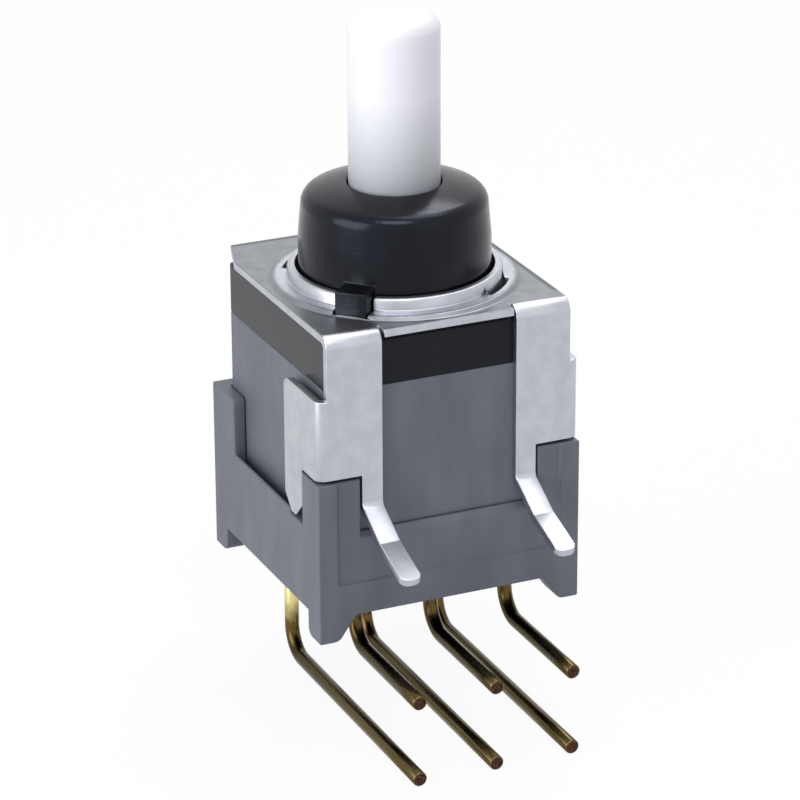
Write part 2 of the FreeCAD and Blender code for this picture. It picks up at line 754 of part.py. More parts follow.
# Base: a tray that holds the case between four corner posts and stands off on four feet.
def makeBase():
    body = newBody("base")
    floor = newSketch(body, "XY_Plane", "base_under")
    drawRectangle(floor, "-base_half", "base_half", "-base_front", "base_back")
    pad(body, floor, "floor_thick")
    wall = newSketch(body, "XY_Plane", "floor_top")
    drawRectangle(wall, "-base_half", "base_half", "-base_front", "base_back")
    drawRectangle(
        wall, "-(case_half + case_gap)", "case_half + case_gap",
        "-(case_front + case_gap)", "case_back + case_gap",
    )
    pad(body, wall, "tallest_post - floor_thick")
    above = "base_under + tallest_post + cut_margin"
    frontGap = newSketch(body, "XZ_Plane")
    drawRectangle(frontGap, "-gap_half", "gap_half", "front_wall_top", above)
    pocket(body, frontGap, backwards=True)
    rearGap = newSketch(body, "XZ_Plane")
    drawRectangle(rearGap, "-gap_half", "gap_half", "front_wall_top", above)
    pocket(body, rearGap)
    sideGap = newSketch(body, "YZ_Plane")
    postEnd = "-(base_front - front_post_depth)"
    drawOutline(sideGap, [
        ("-base_front - cut_margin", "front_post_top"),
        (postEnd, "front_post_top"),
        (postEnd, "side_wall_top"),
        ("base_back - rear_post_depth", "side_wall_top"),
        ("base_back - rear_post_depth", "rear_post_top"),
        ("base_back + cut_margin", "rear_post_top"),
        ("base_back + cut_margin", above),
        ("-base_front - cut_margin", above),
    ])
    pocket(body, sideGap, side="Symmetric")
    slot = newSketch(body, "YZ_Plane")
    drawRectangle(slot, postEnd, "-slot_back", "slot_floor", "side_wall_top + cut_margin")
    pocket(body, slot, side="Symmetric")
    # Behind the tongue slots the side walls slope inwards to lead the case in.
    leadIn = newSketch(body, "XZ_Plane", "slot_back")
    for side in ("-", ""):
        drawOutline(leadIn, [
            (f"{side}case_half", "side_wall_top - lead_in_depth"),
            (f"{side}(case_half + case_gap)", "side_wall_top - lead_in_depth"),
            (f"{side}(case_half + case_gap + lead_in_width)", "side_wall_top"),
            (f"{side}case_half", "side_wall_top"),
        ])
    pocket(body, leadIn, "slot_back + base_back - rear_post_depth")
    chamfer = newSketch(body, "YZ_Plane")
    drawOutline(chamfer, [
        ("-base_front - cut_margin", "front_wall_top - wall_chamfer - cut_margin"),
        ("-base_front + wall_chamfer", "front_wall_top"),
        ("-base_front + wall_chamfer", "front_wall_top + cut_margin"),
        ("-base_front - cut_margin", "front_wall_top + cut_margin"),
    ])
    pocket(body, chamfer, "2 * gap_half", side="Symmetric")
    step = newSketch(body, "XZ_Plane", "base_front - face_step")
    drawRectangle(
        step, "-(base_half - face_step_margin)", "base_half - face_step_margin",
        "base_under + face_step_rise", above,
    )
    pocket(body, step, backwards=True)
    for offset, backwards in (("base_front", True), ("-base_back", False)):
        feet = newSketch(body, "XZ_Plane", offset)
        for side in ("-", ""):
            drawOutline(feet, [
                (f"{side}(base_half - foot_width)", "base_under"),
                (f"{side}(base_half - foot_width + foot_taper)", "foot_under"),
                (f"{side}base_half", "foot_under"),
                (f"{side}base_half", "base_under"),
            ])
        pad(body, feet, "foot_depth", backwards=backwards)
    resin = newSketch(body, "XY_Plane", "base_under")
    drawRectangle(resin, "-resin_half", "resin_half", "-resin_reach", "resin_reach")
    pocket(body, resin, "resin_depth", backwards=True)
    leads = newSketch(body, "XY_Plane")
    for column, row in terminalPlaces():
        side = "(lead_radius + running_gap)"
        drawRectangle(
            leads, f"{column} * pitch - {side}", f"{column} * pitch + {side}",
            f"{row} * pitch - {side}", f"{row} * pitch + {side}",
        )
    pocket(body, leads)
    footEdges = lambda edge: atLevel(edge, "foot_under") and (
        runsAlong(edge, 1) and near(abs(edge.BoundBox.XMin), "base_half - foot_width + foot_taper")
        or near(edge.BoundBox.YMin, "foot_depth - base_front")
        or near(edge.BoundBox.YMax, "base_back - foot_depth")
    )
    dress(body, "Fillet", "foot_edges", "foot_round", footEdges)
    postFronts = lambda edge: runsAlong(edge, 0) and atLevel(edge, "rear_post_top") and near(
        edge.BoundBox.YMax, "base_back - rear_post_depth"
    )
    dress(body, "Fillet", "post_tops", "post_round", postFronts)
    return body


# Potting resin that seals the terminals where they leave the base.
def makeResin():
    body = newBody("terminal_seal")
    sheetFace = newSketch(body, "XY_Plane", "base_under + resin_sink")
    drawRectangle(sheetFace, "-resin_half", "resin_half", "-resin_reach", "resin_reach")
    aroundLead = f"lead_radius / cos({180 / RESIN_HOLE_SIDES})"
    for column, row in terminalPlaces():
        place = (f"{column} * pitch", f"{row} * pitch")
        drawPolygon(sheetFace, *place, aroundLead, RESIN_HOLE_SIDES)
    pad(body, sheetFace, "resin_depth - resin_sink")
    return body


# A terminal: a contact pad on the base's floor and a round lead that bends towards the board.
def makeTerminal(name, column, row):
    body = newBody(name)
    across = f"{column} * pitch"
    start = f"{row} * pitch"
    low = f"base_under - short_drop - {(row + 1) // 2} * pitch"
    upright = newSketch(body, "XY_Plane", "floor_top")
    drawCircle(upright, across, start, "lead_radius")
    pad(body, upright, f"floor_top - ({low} + lead_bend)", backwards=True)
    section = newSketch(body, "XY_Plane", f"{low} + lead_bend")
    drawPolygon(section, across, start, "lead_radius", BEND_SIDES)
    path = newSketch(body, "YZ_Plane", across)
    drawPath(path, [
        (start, f"{low} + lead_bend", "-lead_bend"),
        (f"{start} - lead_bend", low),
    ], False)
    doc.recompute()
    bend = addFeature(body, "AdditivePipe", section)
    bend.Spine = (path, ["Edge1"])
    level = newSketch(body, "XZ_Plane", f"lead_bend - {start}")
    drawCircle(level, across, low, "lead_radius")
    pad(body, level, f"tip_reach + {start} - lead_bend")
    contact = newSketch(body, "XY_Plane", "floor_top")
    reach = sorted((f"{row} * pad_inner", f"{row} * pad_outer"), key=value)
    if column:
        ends = sorted(
            (f"{column} * (centre_pad_half + pad_break)", f"{column} * outer_pad_end"),
            key=value,
        )
    else:
        ends = ("-centre_pad_half", "centre_pad_half")
    drawRectangle(contact, *ends, *reach)
    pad(body, contact, "pad_thick")
    return body


# Carrier: slides along X on the base floor. The plunger's cam pin rides in its 45 degree slot,
# and each arm holds one moving contact and its spring in a pocket.
def makeCarrier():
    body = newBody("contact_carrier")
    section = newSketch(body, "YZ_Plane", "carrier_centre")
    drawOutline(section, [
        ("-runner_half", "runner_under"),
        ("runner_half", "runner_under"),
        ("runner_half", "arm_under"),
        ("carrier_side", "arm_under"),
        ("carrier_side", "arm_top"),
        ("-carrier_side", "arm_top"),
        ("-carrier_side", "arm_under"),
        ("-runner_half", "arm_under"),
    ])
    pad(body, section, "2 * carrier_half", side="Symmetric")
    cheeks = newSketch(body, "YZ_Plane", "carrier_centre")
    drawRectangle(cheeks, "cheek_inner", "cheek_outer", "arm_top", "cheek_top")
    drawRectangle(cheeks, "-cheek_outer", "-cheek_inner", "arm_top", "cheek_top")
    pad(body, cheeks, "2 * cheek_half", side="Symmetric")
    slot = newSketch(body, "XZ_Plane")
    drawSlot(slot, ("-travel", "cam_level - travel"), ("0", "cam_level"), "cam_slot_radius")
    pocket(body, slot, side="Symmetric")
    room = newSketch(body, "XY_Plane", "arm_under")
    for side in ("-", ""):
        reach = sorted(
            (
                f"{side}(contact_row - contact_width / 2 - running_gap)",
                f"{side}(contact_row + contact_width / 2 + running_gap)",
            ),
            key=value,
        )
        drawRectangle(
            room, "carrier_centre - contact_half - running_gap",
            "carrier_centre + contact_half + running_gap", *reach,
        )
    pocket(body, room, "roof_level - arm_under", backwards=True)
    return body


# A moving contact: a sheet with two bars across its underside, split lengthwise into twin fingers.
def makeMovingContact(name, row):
    body = newBody(name)
    section = newSketch(body, "XZ_Plane", f"{-row} * contact_row")
    corners = [("carrier_centre - contact_half", "contact_under")]
    for side in ("- contact_reach", "+ contact_reach"):
        middle = f"carrier_centre {side}"
        corners += [
            (f"{middle} - contact_bar_root", "contact_under"),
            (f"{middle} - contact_bar_foot", "bar_under"),
            (f"{middle} + contact_bar_foot", "bar_under"),
            (f"{middle} + contact_bar_root", "contact_under"),
        ]
    corners += [
        ("carrier_centre + contact_half", "contact_under"),
        ("carrier_centre + contact_half", "contact_top"),
        ("carrier_centre - contact_half", "contact_top"),
    ]
    drawOutline(section, corners)
    pad(body, section, "contact_width", side="Symmetric")
    split = newSketch(body, "XY_Plane")
    low = f"{row} * contact_row - contact_split / 2"
    high = f"{row} * contact_row + contact_split / 2"
    drawRectangle(
        split, "carrier_centre - contact_half - cut_margin",
        "carrier_centre - contact_half + contact_split_length", low, high,
    )
    drawRectangle(
        split, "carrier_centre + contact_half - contact_split_length",
        "carrier_centre + contact_half + cut_margin", low, high,
    )
    pocket(body, split)
    return body


# A bowed leaf spring that presses a moving contact onto its pads.
def makeContactSpring(name, row):
    body = newBody(name)
    bow = newSketch(body, "XZ_Plane", f"{-row} * contact_row")
    room = "(roof_level - contact_top - leaf_thick - 2 * rest_gap)"
    radius = f"(leaf_half ^ 2 + {room} ^ 2) / (2 * {room})"
    drawOutline(bow, [
        ("carrier_centre - leaf_half", "contact_top + rest_gap", f"-({radius})"),
        ("carrier_centre + leaf_half", "contact_top + rest_gap"),
        ("carrier_centre + leaf_half", "contact_top + rest_gap + leaf_thick", radius),
        ("carrier_centre - leaf_half", "contact_top + rest_gap + leaf_thick"),
    ])
    pad(body, bow, "leaf_width", side="Symmetric")
    return body


def makeParts():
    parts = [
        makeBushing(),
        makePlunger(),
        makeCamPin(),
        makeSeal(),
        makeSealWasher(),
        makeReturnSpring(),
        makeBracket(),
        makeCase(),
        makeBase(),
        makeResin(),
        makeCarrier(),
    ]
    columns = {-1: "left", 0: "centre", 1: "right"}
    rows = {-1: "front", 1: "rear"}
    for column, row in terminalPlaces():
        parts.append(makeTerminal(f"terminal_{rows[row]}_{columns[column]}", column, row))
    for row, place in rows.items():
        parts.append(makeMovingContact(f"moving_contact_{place}", row))
        parts.append(makeContactSpring(f"contact_spring_{place}", row))
    return parts


def checkAll(parts):
    for item in doc.Objects:
        if "Invalid" in item.State or "Error" in item.State:
            raise RuntimeError(f"{item.Name} failed: {item.State}")
    for part in parts:
        if part.Shape.isNull() or not part.Shape.isValid() or len(part.Shape.Solids) != 1:
            raise RuntimeError(f"{part.Label} isn't one valid solid")


parts = makeParts()
doc.recompute()
checkAll(parts)
os.makedirs("parts", exist_ok=True)
for part in parts:
    part.Shape.exportStep(f"parts/{part.Label}.step")
    box = part.Shape.BoundBox
    print(f"{part.Label}: volume {part.Shape.Volume:.3f}, z {box.ZMin:.3f} to {box.ZMax:.3f}")
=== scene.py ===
# Finishes for an ultra-miniature right-angle pushbutton switch. Every shape is in the frame's metres.
import bmesh
import bpy
from math import cos, pi, radians, sin
from mathutils import Matrix, Vector


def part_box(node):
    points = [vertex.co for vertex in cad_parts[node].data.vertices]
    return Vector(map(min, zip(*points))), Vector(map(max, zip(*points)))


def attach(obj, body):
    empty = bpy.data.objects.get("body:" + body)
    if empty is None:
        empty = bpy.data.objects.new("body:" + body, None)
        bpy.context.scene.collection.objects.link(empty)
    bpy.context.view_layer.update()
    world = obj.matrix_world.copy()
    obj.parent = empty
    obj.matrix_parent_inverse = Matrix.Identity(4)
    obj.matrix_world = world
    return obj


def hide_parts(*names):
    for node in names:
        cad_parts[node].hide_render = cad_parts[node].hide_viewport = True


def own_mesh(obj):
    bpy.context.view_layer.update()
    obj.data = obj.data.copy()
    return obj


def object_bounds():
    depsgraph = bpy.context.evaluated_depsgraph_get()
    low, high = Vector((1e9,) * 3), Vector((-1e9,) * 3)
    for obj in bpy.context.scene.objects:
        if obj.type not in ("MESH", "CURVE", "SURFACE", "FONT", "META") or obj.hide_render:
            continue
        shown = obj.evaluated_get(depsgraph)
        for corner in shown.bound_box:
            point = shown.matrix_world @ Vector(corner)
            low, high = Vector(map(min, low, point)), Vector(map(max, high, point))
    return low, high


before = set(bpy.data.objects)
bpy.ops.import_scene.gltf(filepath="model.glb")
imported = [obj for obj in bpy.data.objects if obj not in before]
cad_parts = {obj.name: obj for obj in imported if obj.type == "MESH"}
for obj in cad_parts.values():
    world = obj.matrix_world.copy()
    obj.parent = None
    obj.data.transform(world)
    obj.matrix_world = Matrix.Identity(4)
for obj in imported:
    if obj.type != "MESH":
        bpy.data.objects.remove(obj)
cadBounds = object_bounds()
scene = bpy.context.scene
millimetre = 0.001
print("frame loaded:", len(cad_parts), "nodes")


def linearColour(hexColour):
    parts = [int(hexColour[i:i + 2], 16) / 255 for i in (1, 3, 5)]
    curved = [c / 12.92 if c <= 0.04045 else ((c + 0.055) / 1.055) ** 2.4 for c in parts]
    return (*curved, 1)


# How many finer layers each noise pattern carries.
patternDetail = 3.0


# Adds one node: sockets take a value or another node's output, stops are a ramp's colours by place,
# and the rest are the node's settings.
def addNode(tree, kind, sockets=None, stops=None, **settings):
    node = tree.nodes.new(kind)
    for name, setting in settings.items():
        setattr(node, name, setting)
    for key, source in (sockets or {}).items():
        if isinstance(source, bpy.types.NodeSocket):
            tree.links.new(source, node.inputs[key])
        else:
            node.inputs[key].default_value = source
    if stops:
        marks = node.color_ramp.elements
        while len(marks) < len(stops):
            marks.new(0.5)
        for mark, (place, tone) in zip(marks, stops.items()):
            mark.position = place
            mark.color = linearColour(tone)
    return node


def newMaterial(name):
    material = bpy.data.materials.new(name)
    material.use_nodes = True
    tree = material.node_tree
    tree.nodes.clear()
    return material, tree


def finishMaterial(tree, shader):
    output = addNode(tree, "ShaderNodeOutputMaterial")
    tree.links.new(shader.outputs[0], output.inputs["Surface"])


# Object coordinates in millimetres, stretched where a pattern runs one way.
def millimetres(tree, stretch=(1, 1, 1)):
    place = addNode(tree, "ShaderNodeTexCoord")
    scale = tuple(s / millimetre for s in stretch)
    return addNode(tree, "ShaderNodeMapping", {"Vector": place.outputs["Object"], "Scale": scale})


# A ramp's stops for a finish that wanders between two shades, set where noise mostly lies.
def twoShades(look):
    return {0.35: look["low"], 0.65: look["high"]}


# Roughness and relief that follow one pattern. The relief's depth is in millimetres.
def surfaceOf(tree, pattern, look):
    rough = addNode(tree, "ShaderNodeMapRange", {
        "Value": pattern.outputs[0], "To Min": look["rough"][0], "To Max": look["rough"][1],
    })
    relief = addNode(tree, "ShaderNodeBump", {
        "Height": pattern.outputs[0], "Distance": look["depth"] * millimetre, "Strength": 1.0,
    })
    return {"Roughness": rough.outputs[0], "Normal": relief.outputs[0]}


# Glass-filled nylon, moulded in a spark-eroded tool: a soft sheen broken up by fine grain.
blackNylon = {
    "low": "#08090c",
    "high": "#0f1116",
    "cloud": 1.4,
    "grain": 0.09,
    "rough": (0.18, 0.24),
    "depth": 0.004,
    "ior": 1.53,
    "specular": 0.24,
    "tint": "#d5dcf2",
}


def makeBlackNylon():
    material, tree = newMaterial("mouldedBlackNylon")
    place = millimetres(tree)
    cloud = addNode(tree, "ShaderNodeTexNoise", {
        "Vector": place.outputs[0], "Scale": 1 / blackNylon["cloud"], "Detail": patternDetail,
    })
    grain = addNode(tree, "ShaderNodeTexNoise", {
        "Vector": place.outputs[0], "Scale": 1 / blackNylon["grain"], "Detail": patternDetail,
    })
    tone = addNode(tree, "ShaderNodeValToRGB", {"Fac": cloud.outputs[0]}, twoShades(blackNylon))
    shader = addNode(tree, "ShaderNodeBsdfPrincipled", {
        "Base Color": tone.outputs[0],
        "IOR": blackNylon["ior"],
        "Specular IOR Level": blackNylon["specular"],
        "Specular Tint": linearColour(blackNylon["tint"]),
        **surfaceOf(tree, grain, blackNylon),
    })
    finishMaterial(tree, shader)
    return material


# Natural nylon, moulded: milky and lit from inside, with painted shade that greys it towards the
# bushing. Heights are in millimetres above the collar.
naturalNylon = {
    "shadedTone": "#a3a7ad",
    "unshadedTone": "#e0e0e6",
    "shadeBelow": 2.2,
    "unshadedAbove": 5.5,
    "grain": 0.12,
    "rough": (0.34, 0.46),
    "depth": 0.003,
    "ior": 1.53,
    "glow": 0.65,
    "glowTint": (1.0, 0.96, 0.9),
    "depthOfGlow": 0.9,
}


def makeNaturalNylon():
    material, tree = newMaterial("mouldedNaturalNylon")
    place = millimetres(tree)
    fine = addNode(tree, "ShaderNodeTexNoise", {
        "Vector": place.outputs[0], "Scale": 1 / naturalNylon["grain"], "Detail": patternDetail,
    })
    height = addNode(tree, "ShaderNodeSeparateXYZ", {"Vector": place.outputs[0]})
    # Painted shade: grey low on the rod, rising to the nylon's own colour higher up.
    shadeRise = addNode(tree, "ShaderNodeMapRange", {
        "Value": height.outputs["Z"],
        "From Min": naturalNylon["shadeBelow"],
        "From Max": naturalNylon["unshadedAbove"],
    })
    stops = {0: naturalNylon["shadedTone"], 1: naturalNylon["unshadedTone"]}
    tone = addNode(tree, "ShaderNodeValToRGB", {"Fac": shadeRise.outputs[0]}, stops)
    shader = addNode(tree, "ShaderNodeBsdfPrincipled", {
        "Base Color": tone.outputs[0],
        "IOR": naturalNylon["ior"],
        "Subsurface Weight": naturalNylon["glow"],
        "Subsurface Radius": naturalNylon["glowTint"],
        "Subsurface Scale": naturalNylon["depthOfGlow"] * millimetre,
        **surfaceOf(tree, fine, naturalNylon),
    })
    finishMaterial(tree, shader)
    return material


# Glass-filled polyester, moulded: a flat mid grey with a faint flow mottle and an even fine grain.
greyPolyester = {
    "low": "#585b64",
    "high": "#61656f",
    "flow": 1.1,
    "flowStretch": (1, 1, 0.35),
    "flowDetail": 4.0,
    "grain": 0.07,
    "rough": (0.45, 0.6),
    "depth": 0.005,
    "ior": 1.57,
    "specular": 0.35,
}


def makeGreyPolyester():
    material, tree = newMaterial("mouldedGreyPolyester")
    flow = addNode(tree, "ShaderNodeTexNoise", {
        "Vector": millimetres(tree, greyPolyester["flowStretch"]).outputs[0],
        "Scale": 1 / greyPolyester["flow"],
        "Detail": greyPolyester["flowDetail"],
    })
    grain = addNode(tree, "ShaderNodeTexNoise", {
        "Vector": millimetres(tree).outputs[0],
        "Scale": 1 / greyPolyester["grain"],
        "Detail": patternDetail,
    })
    tone = addNode(tree, "ShaderNodeValToRGB", {"Fac": flow.outputs[0]}, twoShades(greyPolyester))
    shader = addNode(tree, "ShaderNodeBsdfPrincipled", {
        "Base Color": tone.outputs[0],
        "IOR": greyPolyester["ior"],
        "Specular IOR Level": greyPolyester["specular"],
        **surfaceOf(tree, grain, greyPolyester),
    })
    finishMaterial(tree, shader)
    return material


# Tin-plated bronze sheet, rolled then pressed: satin silver with faint streaks along the rolling.
tinnedSheet = {
    "low": "#b6b8c0",
    "high": "#c0c2c9",
    "cloud": 0.5,
    "streak": 0.12,
    "streakStretch": (1, 0.08, 0.08),
    "rough": (0.3, 0.38),
    "depth": 0.001,
}
# Painted shade: the flat plate takes a darker copy of the tin than the ring round the bushing and the
# legs.
# Places here and below are in millimetres.
shadedPlate = {
    "low": "#82858b",
    "high": "#8e9096",
    "ring": 3.6,
    "ringFade": 0.12,
    "above": -0.53,
    "aboveFade": 0.02,
}
# Painted shade: a dark strip along the plate's right and back edges.
shadedEdge = {
    "colour": "#5a6066",
    "right": 3.78,
    "back": 4.44,
    "plateUnder": -0.9,
    "edgeFade": 0.1,
    "legsBefore": -3.3,
    "legsFade": 0.3,
}


def makeTinnedSheet():
    material, tree = newMaterial("pressedTinnedSheet")
    place = millimetres(tree)
    streaks = addNode(tree, "ShaderNodeTexNoise", {
        "Vector": millimetres(tree, tinnedSheet["streakStretch"]).outputs[0],
        "Scale": 1 / tinnedSheet["streak"],
        "Detail": patternDetail,
    })
    cloud = addNode(tree, "ShaderNodeTexNoise", {
        "Vector": place.outputs[0], "Scale": 1 / tinnedSheet["cloud"], "Detail": patternDetail,
    })
    parts = addNode(tree, "ShaderNodeSeparateXYZ", {"Vector": place.outputs[0]})
    flat = addNode(tree, "ShaderNodeCombineXYZ", {"X": parts.outputs["X"], "Y": parts.outputs["Y"]})
    fromAxis = addNode(tree, "ShaderNodeVectorMath", {0: flat.outputs[0]}, operation="LENGTH")
    # Each border is nothing before its start and rises to one over its fade.
    borders = {
        "right": (parts.outputs["X"], shadedEdge["right"], shadedEdge["edgeFade"]),
        "back": (parts.outputs["Y"], shadedEdge["back"], shadedEdge["edgeFade"]),
        "plate": (parts.outputs["Z"], shadedEdge["plateUnder"], shadedEdge["edgeFade"]),
        "behindLegs": (parts.outputs["Y"], shadedEdge["legsBefore"], shadedEdge["legsFade"]),
        "outside": (fromAxis.outputs["Value"], shadedPlate["ring"], shadedPlate["ringFade"]),
        "level": (parts.outputs["Z"], shadedPlate["above"], shadedPlate["aboveFade"]),
    }
    past = {}
    for name, (source, start, fade) in borders.items():
        rise = addNode(tree, "ShaderNodeMapRange", {
            "Value": source, "From Min": start, "From Max": start + fade,
        })
        past[name] = rise.outputs[0]
    edge = addNode(tree, "ShaderNodeMath", {
        0: past["right"], 1: past["back"],
    }, operation="MAXIMUM")
    onPlate = addNode(tree, "ShaderNodeMath", {
        0: past["plate"], 1: past["behindLegs"],
    }, operation="MULTIPLY")
    # Painted shade along the plate's right and back edges.
    edgeShade = addNode(tree, "ShaderNodeMath", {
        0: edge.outputs[0], 1: onPlate.outputs[0],
    }, operation="MULTIPLY")
    # Painted shade on the flat plate, a darker copy of the tin.
    plateShade = addNode(tree, "ShaderNodeMath", {
        0: past["outside"], 1: past["level"],
    }, operation="MULTIPLY")
    bright = addNode(tree, "ShaderNodeValToRGB", {"Fac": cloud.outputs[0]}, twoShades(tinnedSheet))
    shadedTin = addNode(tree, "ShaderNodeValToRGB", {"Fac": cloud.outputs[0]}, twoShades(shadedPlate))
    # A mix node's colour sockets share their names with its plain ones, so they go by number.
    sheet = addNode(tree, "ShaderNodeMix", {
        0: plateShade.outputs[0], 6: bright.outputs[0], 7: shadedTin.outputs[0],
    }, data_type="RGBA")
    tone = addNode(tree, "ShaderNodeMix", {
        0: edgeShade.outputs[0], 6: sheet.outputs[2], 7: linearColour(shadedEdge["colour"]),
    }, data_type="RGBA")
    shader = addNode(tree, "ShaderNodeBsdfPrincipled", {
        "Base Color": tone.outputs[2],
        "Metallic": 1.0,
        **surfaceOf(tree, streaks, tinnedSheet),
    })
    finishMaterial(tree, shader)
    return material


# Gold flash over nickel on a copper alloy, with painted reflection: a painted pale highlight by the
# housing, painted dark brown shade at the bend and painted dark olive shade along the run. The tones
# stand at millimetres past the start of the bend, which each lead's points carry, and the patches
# wander between neighbours.
paintedLeadShades = {-0.9: "#e2d596", -0.2: "#6c5830", 0.9: "#433824", 2.4: "#494229", 6.0: "#5c4f32"}
goldPlate = {
    "patch": 0.7,
    "reach": 0.8,
    "streak": 0.07,
    "streakStretch": (1, 0.1, 0.1),
    "rough": (0.18, 0.32),
    "depth": 0.002,
}
boldGold = {"low": "#c79a45", "high": "#e0bd6c"}


# The plating's gloss, with faint lines from the drawing of the wire.
def goldShader(tree, colour):
    drawn = addNode(tree, "ShaderNodeTexNoise", {
        "Vector": millimetres(tree, goldPlate["streakStretch"]).outputs[0],
        "Scale": 1 / goldPlate["streak"],
        "Detail": patternDetail,
    })
    return addNode(tree, "ShaderNodeBsdfPrincipled", {
        "Base Color": colour,
        "Metallic": 1.0,
        **surfaceOf(tree, drawn, goldPlate),
    })


def makeLeadGold():
    material, tree = newMaterial("platedLeadGold")
    past = addNode(tree, "ShaderNodeAttribute", attribute_name="pastBend")
    patch = addNode(tree, "ShaderNodeTexNoise", {
        "Vector": millimetres(tree).outputs[0],
        "Scale": 1 / goldPlate["patch"],
        "Detail": patternDetail,
    })
    wander = addNode(tree, "ShaderNodeMapRange", {
        "Value": patch.outputs[0], "To Min": -goldPlate["reach"], "To Max": goldPlate["reach"],
    })
    place = addNode(tree, "ShaderNodeMath", {
        0: past.outputs["Fac"], 1: wander.outputs[0],
    }, operation="ADD")
    # Painted reflection: a pale highlight by the housing, dark shade at the bend and along the run.
    first, last = min(paintedLeadShades), max(paintedLeadShades)
    share = addNode(tree, "ShaderNodeMapRange", {
        "Value": place.outputs[0], "From Min": first, "From Max": last,
    })
    stops = {(distance - first) / (last - first): tone for distance, tone in paintedLeadShades.items()}
    tone = addNode(tree, "ShaderNodeValToRGB", {"Fac": share.outputs[0]}, stops)
    finishMaterial(tree, goldShader(tree, tone.outputs[0]))
    return material


# The same plating inside the switch, without the leads' painted highlight and shade.
def makeContactGold():
    material, tree = newMaterial("platedContactGold")
    patch = addNode(tree, "ShaderNodeTexNoise", {
        "Vector": millimetres(tree).outputs[0],
        "Scale": 1 / goldPlate["patch"],
        "Detail": patternDetail,
    })
    tone = addNode(tree, "ShaderNodeValToRGB", {"Fac": patch.outputs[0]}, twoShades(boldGold))
    finishMaterial(tree, goldShader(tree, tone.outputs[0]))
    return material


# Finishes whose shades, roughness and relief all follow one grain. Sizes are in millimetres, and
# what is the same all over stands under "even", by the shader's own names.
grainedFinishes = {
    # Sheared copper alloy: the cut end of a lead, dull and dark brown.
    "shearedCopper": {
        "low": "#2e211c", "high": "#5b4236", "grain": 0.06, "rough": (0.5, 0.7), "depth": 0.01,
        "even": {"Metallic": 1.0},
    },
    # Stainless steel, ground or drawn: bright grey with lines round the pin or wire.
    "groundStainless": {
        "low": "#b4b5b8", "high": "#c8c9cb", "grain": 0.2, "rough": (0.16, 0.28), "depth": 0.001,
        "stretch": (1, 1, 6), "even": {"Metallic": 1.0},
    },
    "drawnStainless": {
        "low": "#a0a1a4", "high": "#b6b7ba", "grain": 0.2, "rough": (0.24, 0.36), "depth": 0.001,
        "stretch": (1, 1, 6), "even": {"Metallic": 1.0},
    },
    # Nitrile rubber, pressed: near black, dull, with a talc bloom.
    "pressedNitrileRubber": {
        "low": "#141414", "high": "#242424", "grain": 0.3, "rough": (0.6, 0.8), "depth": 0.004,
        "even": {"IOR": 1.52},
    },
    # Epoxy, poured and cured: dark and glassy, with slow waves where it found its level.
    "pouredEpoxy": {
        "low": "#27241f", "high": "#353129", "grain": 1.6, "rough": (0.12, 0.22), "depth": 0.05,
        "detail": 1.0, "even": {"IOR": 1.55},
    },
    # Acetal, moulded: waxy brown grey and smooth, as a slider is.
    "mouldedAcetal": {
        "low": "#8f887c", "high": "#9c968a", "grain": 0.8, "rough": (0.3, 0.4), "depth": 0.003,
        "even": {"IOR": 1.48},
    },
}


def makeGrained(name):
    look = grainedFinishes[name]
    material, tree = newMaterial(name)
    grain = addNode(tree, "ShaderNodeTexNoise", {
        "Vector": millimetres(tree, look.get("stretch", (1, 1, 1))).outputs[0],
        "Scale": 1 / look["grain"],
        "Detail": look.get("detail", patternDetail),
    })
    tone = addNode(tree, "ShaderNodeValToRGB", {"Fac": grain.outputs[0]}, twoShades(look))
    shader = addNode(tree, "ShaderNodeBsdfPrincipled", {
        "Base Color": tone.outputs[0],
        **look["even"],
        **surfaceOf(tree, grain, look),
    })
    finishMaterial(tree, shader)
    return material


materials = {
    "black_nylon": makeBlackNylon(),
    "white_nylon": makeNaturalNylon(),
    "grey_plastic": makeGreyPolyester(),
    "tinned_sheet": makeTinnedSheet(),
    "gold_plate": makeContactGold(),
    "pin_steel": makeGrained("groundStainless"),
    "spring_steel": makeGrained("drawnStainless"),
    "seal_rubber": makeGrained("pressedNitrileRubber"),
    "potting_resin": makeGrained("pouredEpoxy"),
    "carrier_plastic": makeGrained("mouldedAcetal"),
}
# A lead's plating, then its cut end.
leadMaterials = [makeLeadGold(), makeGrained("shearedCopper")]
print("materials made:", len(materials) + len(leadMaterials))


def paint(piece, slotName):
    piece.data.materials.clear()
    piece.data.materials.append(materials[slotName])
    for face in piece.data.polygons:
        face.material_index = 0
    return piece


# Takes over from a CAD node: hides the node and puts the piece in the given body.
def standsFor(piece, node, body="housing"):
    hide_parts(node)
    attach(piece, body)
    return piece


# How edges are found and rounded: millimetres to weld, then degrees, then steps across the round.
edgeWork = {"weld": 0.0005, "flatAngle": 1, "sharpAngle": 28, "steps": 3}


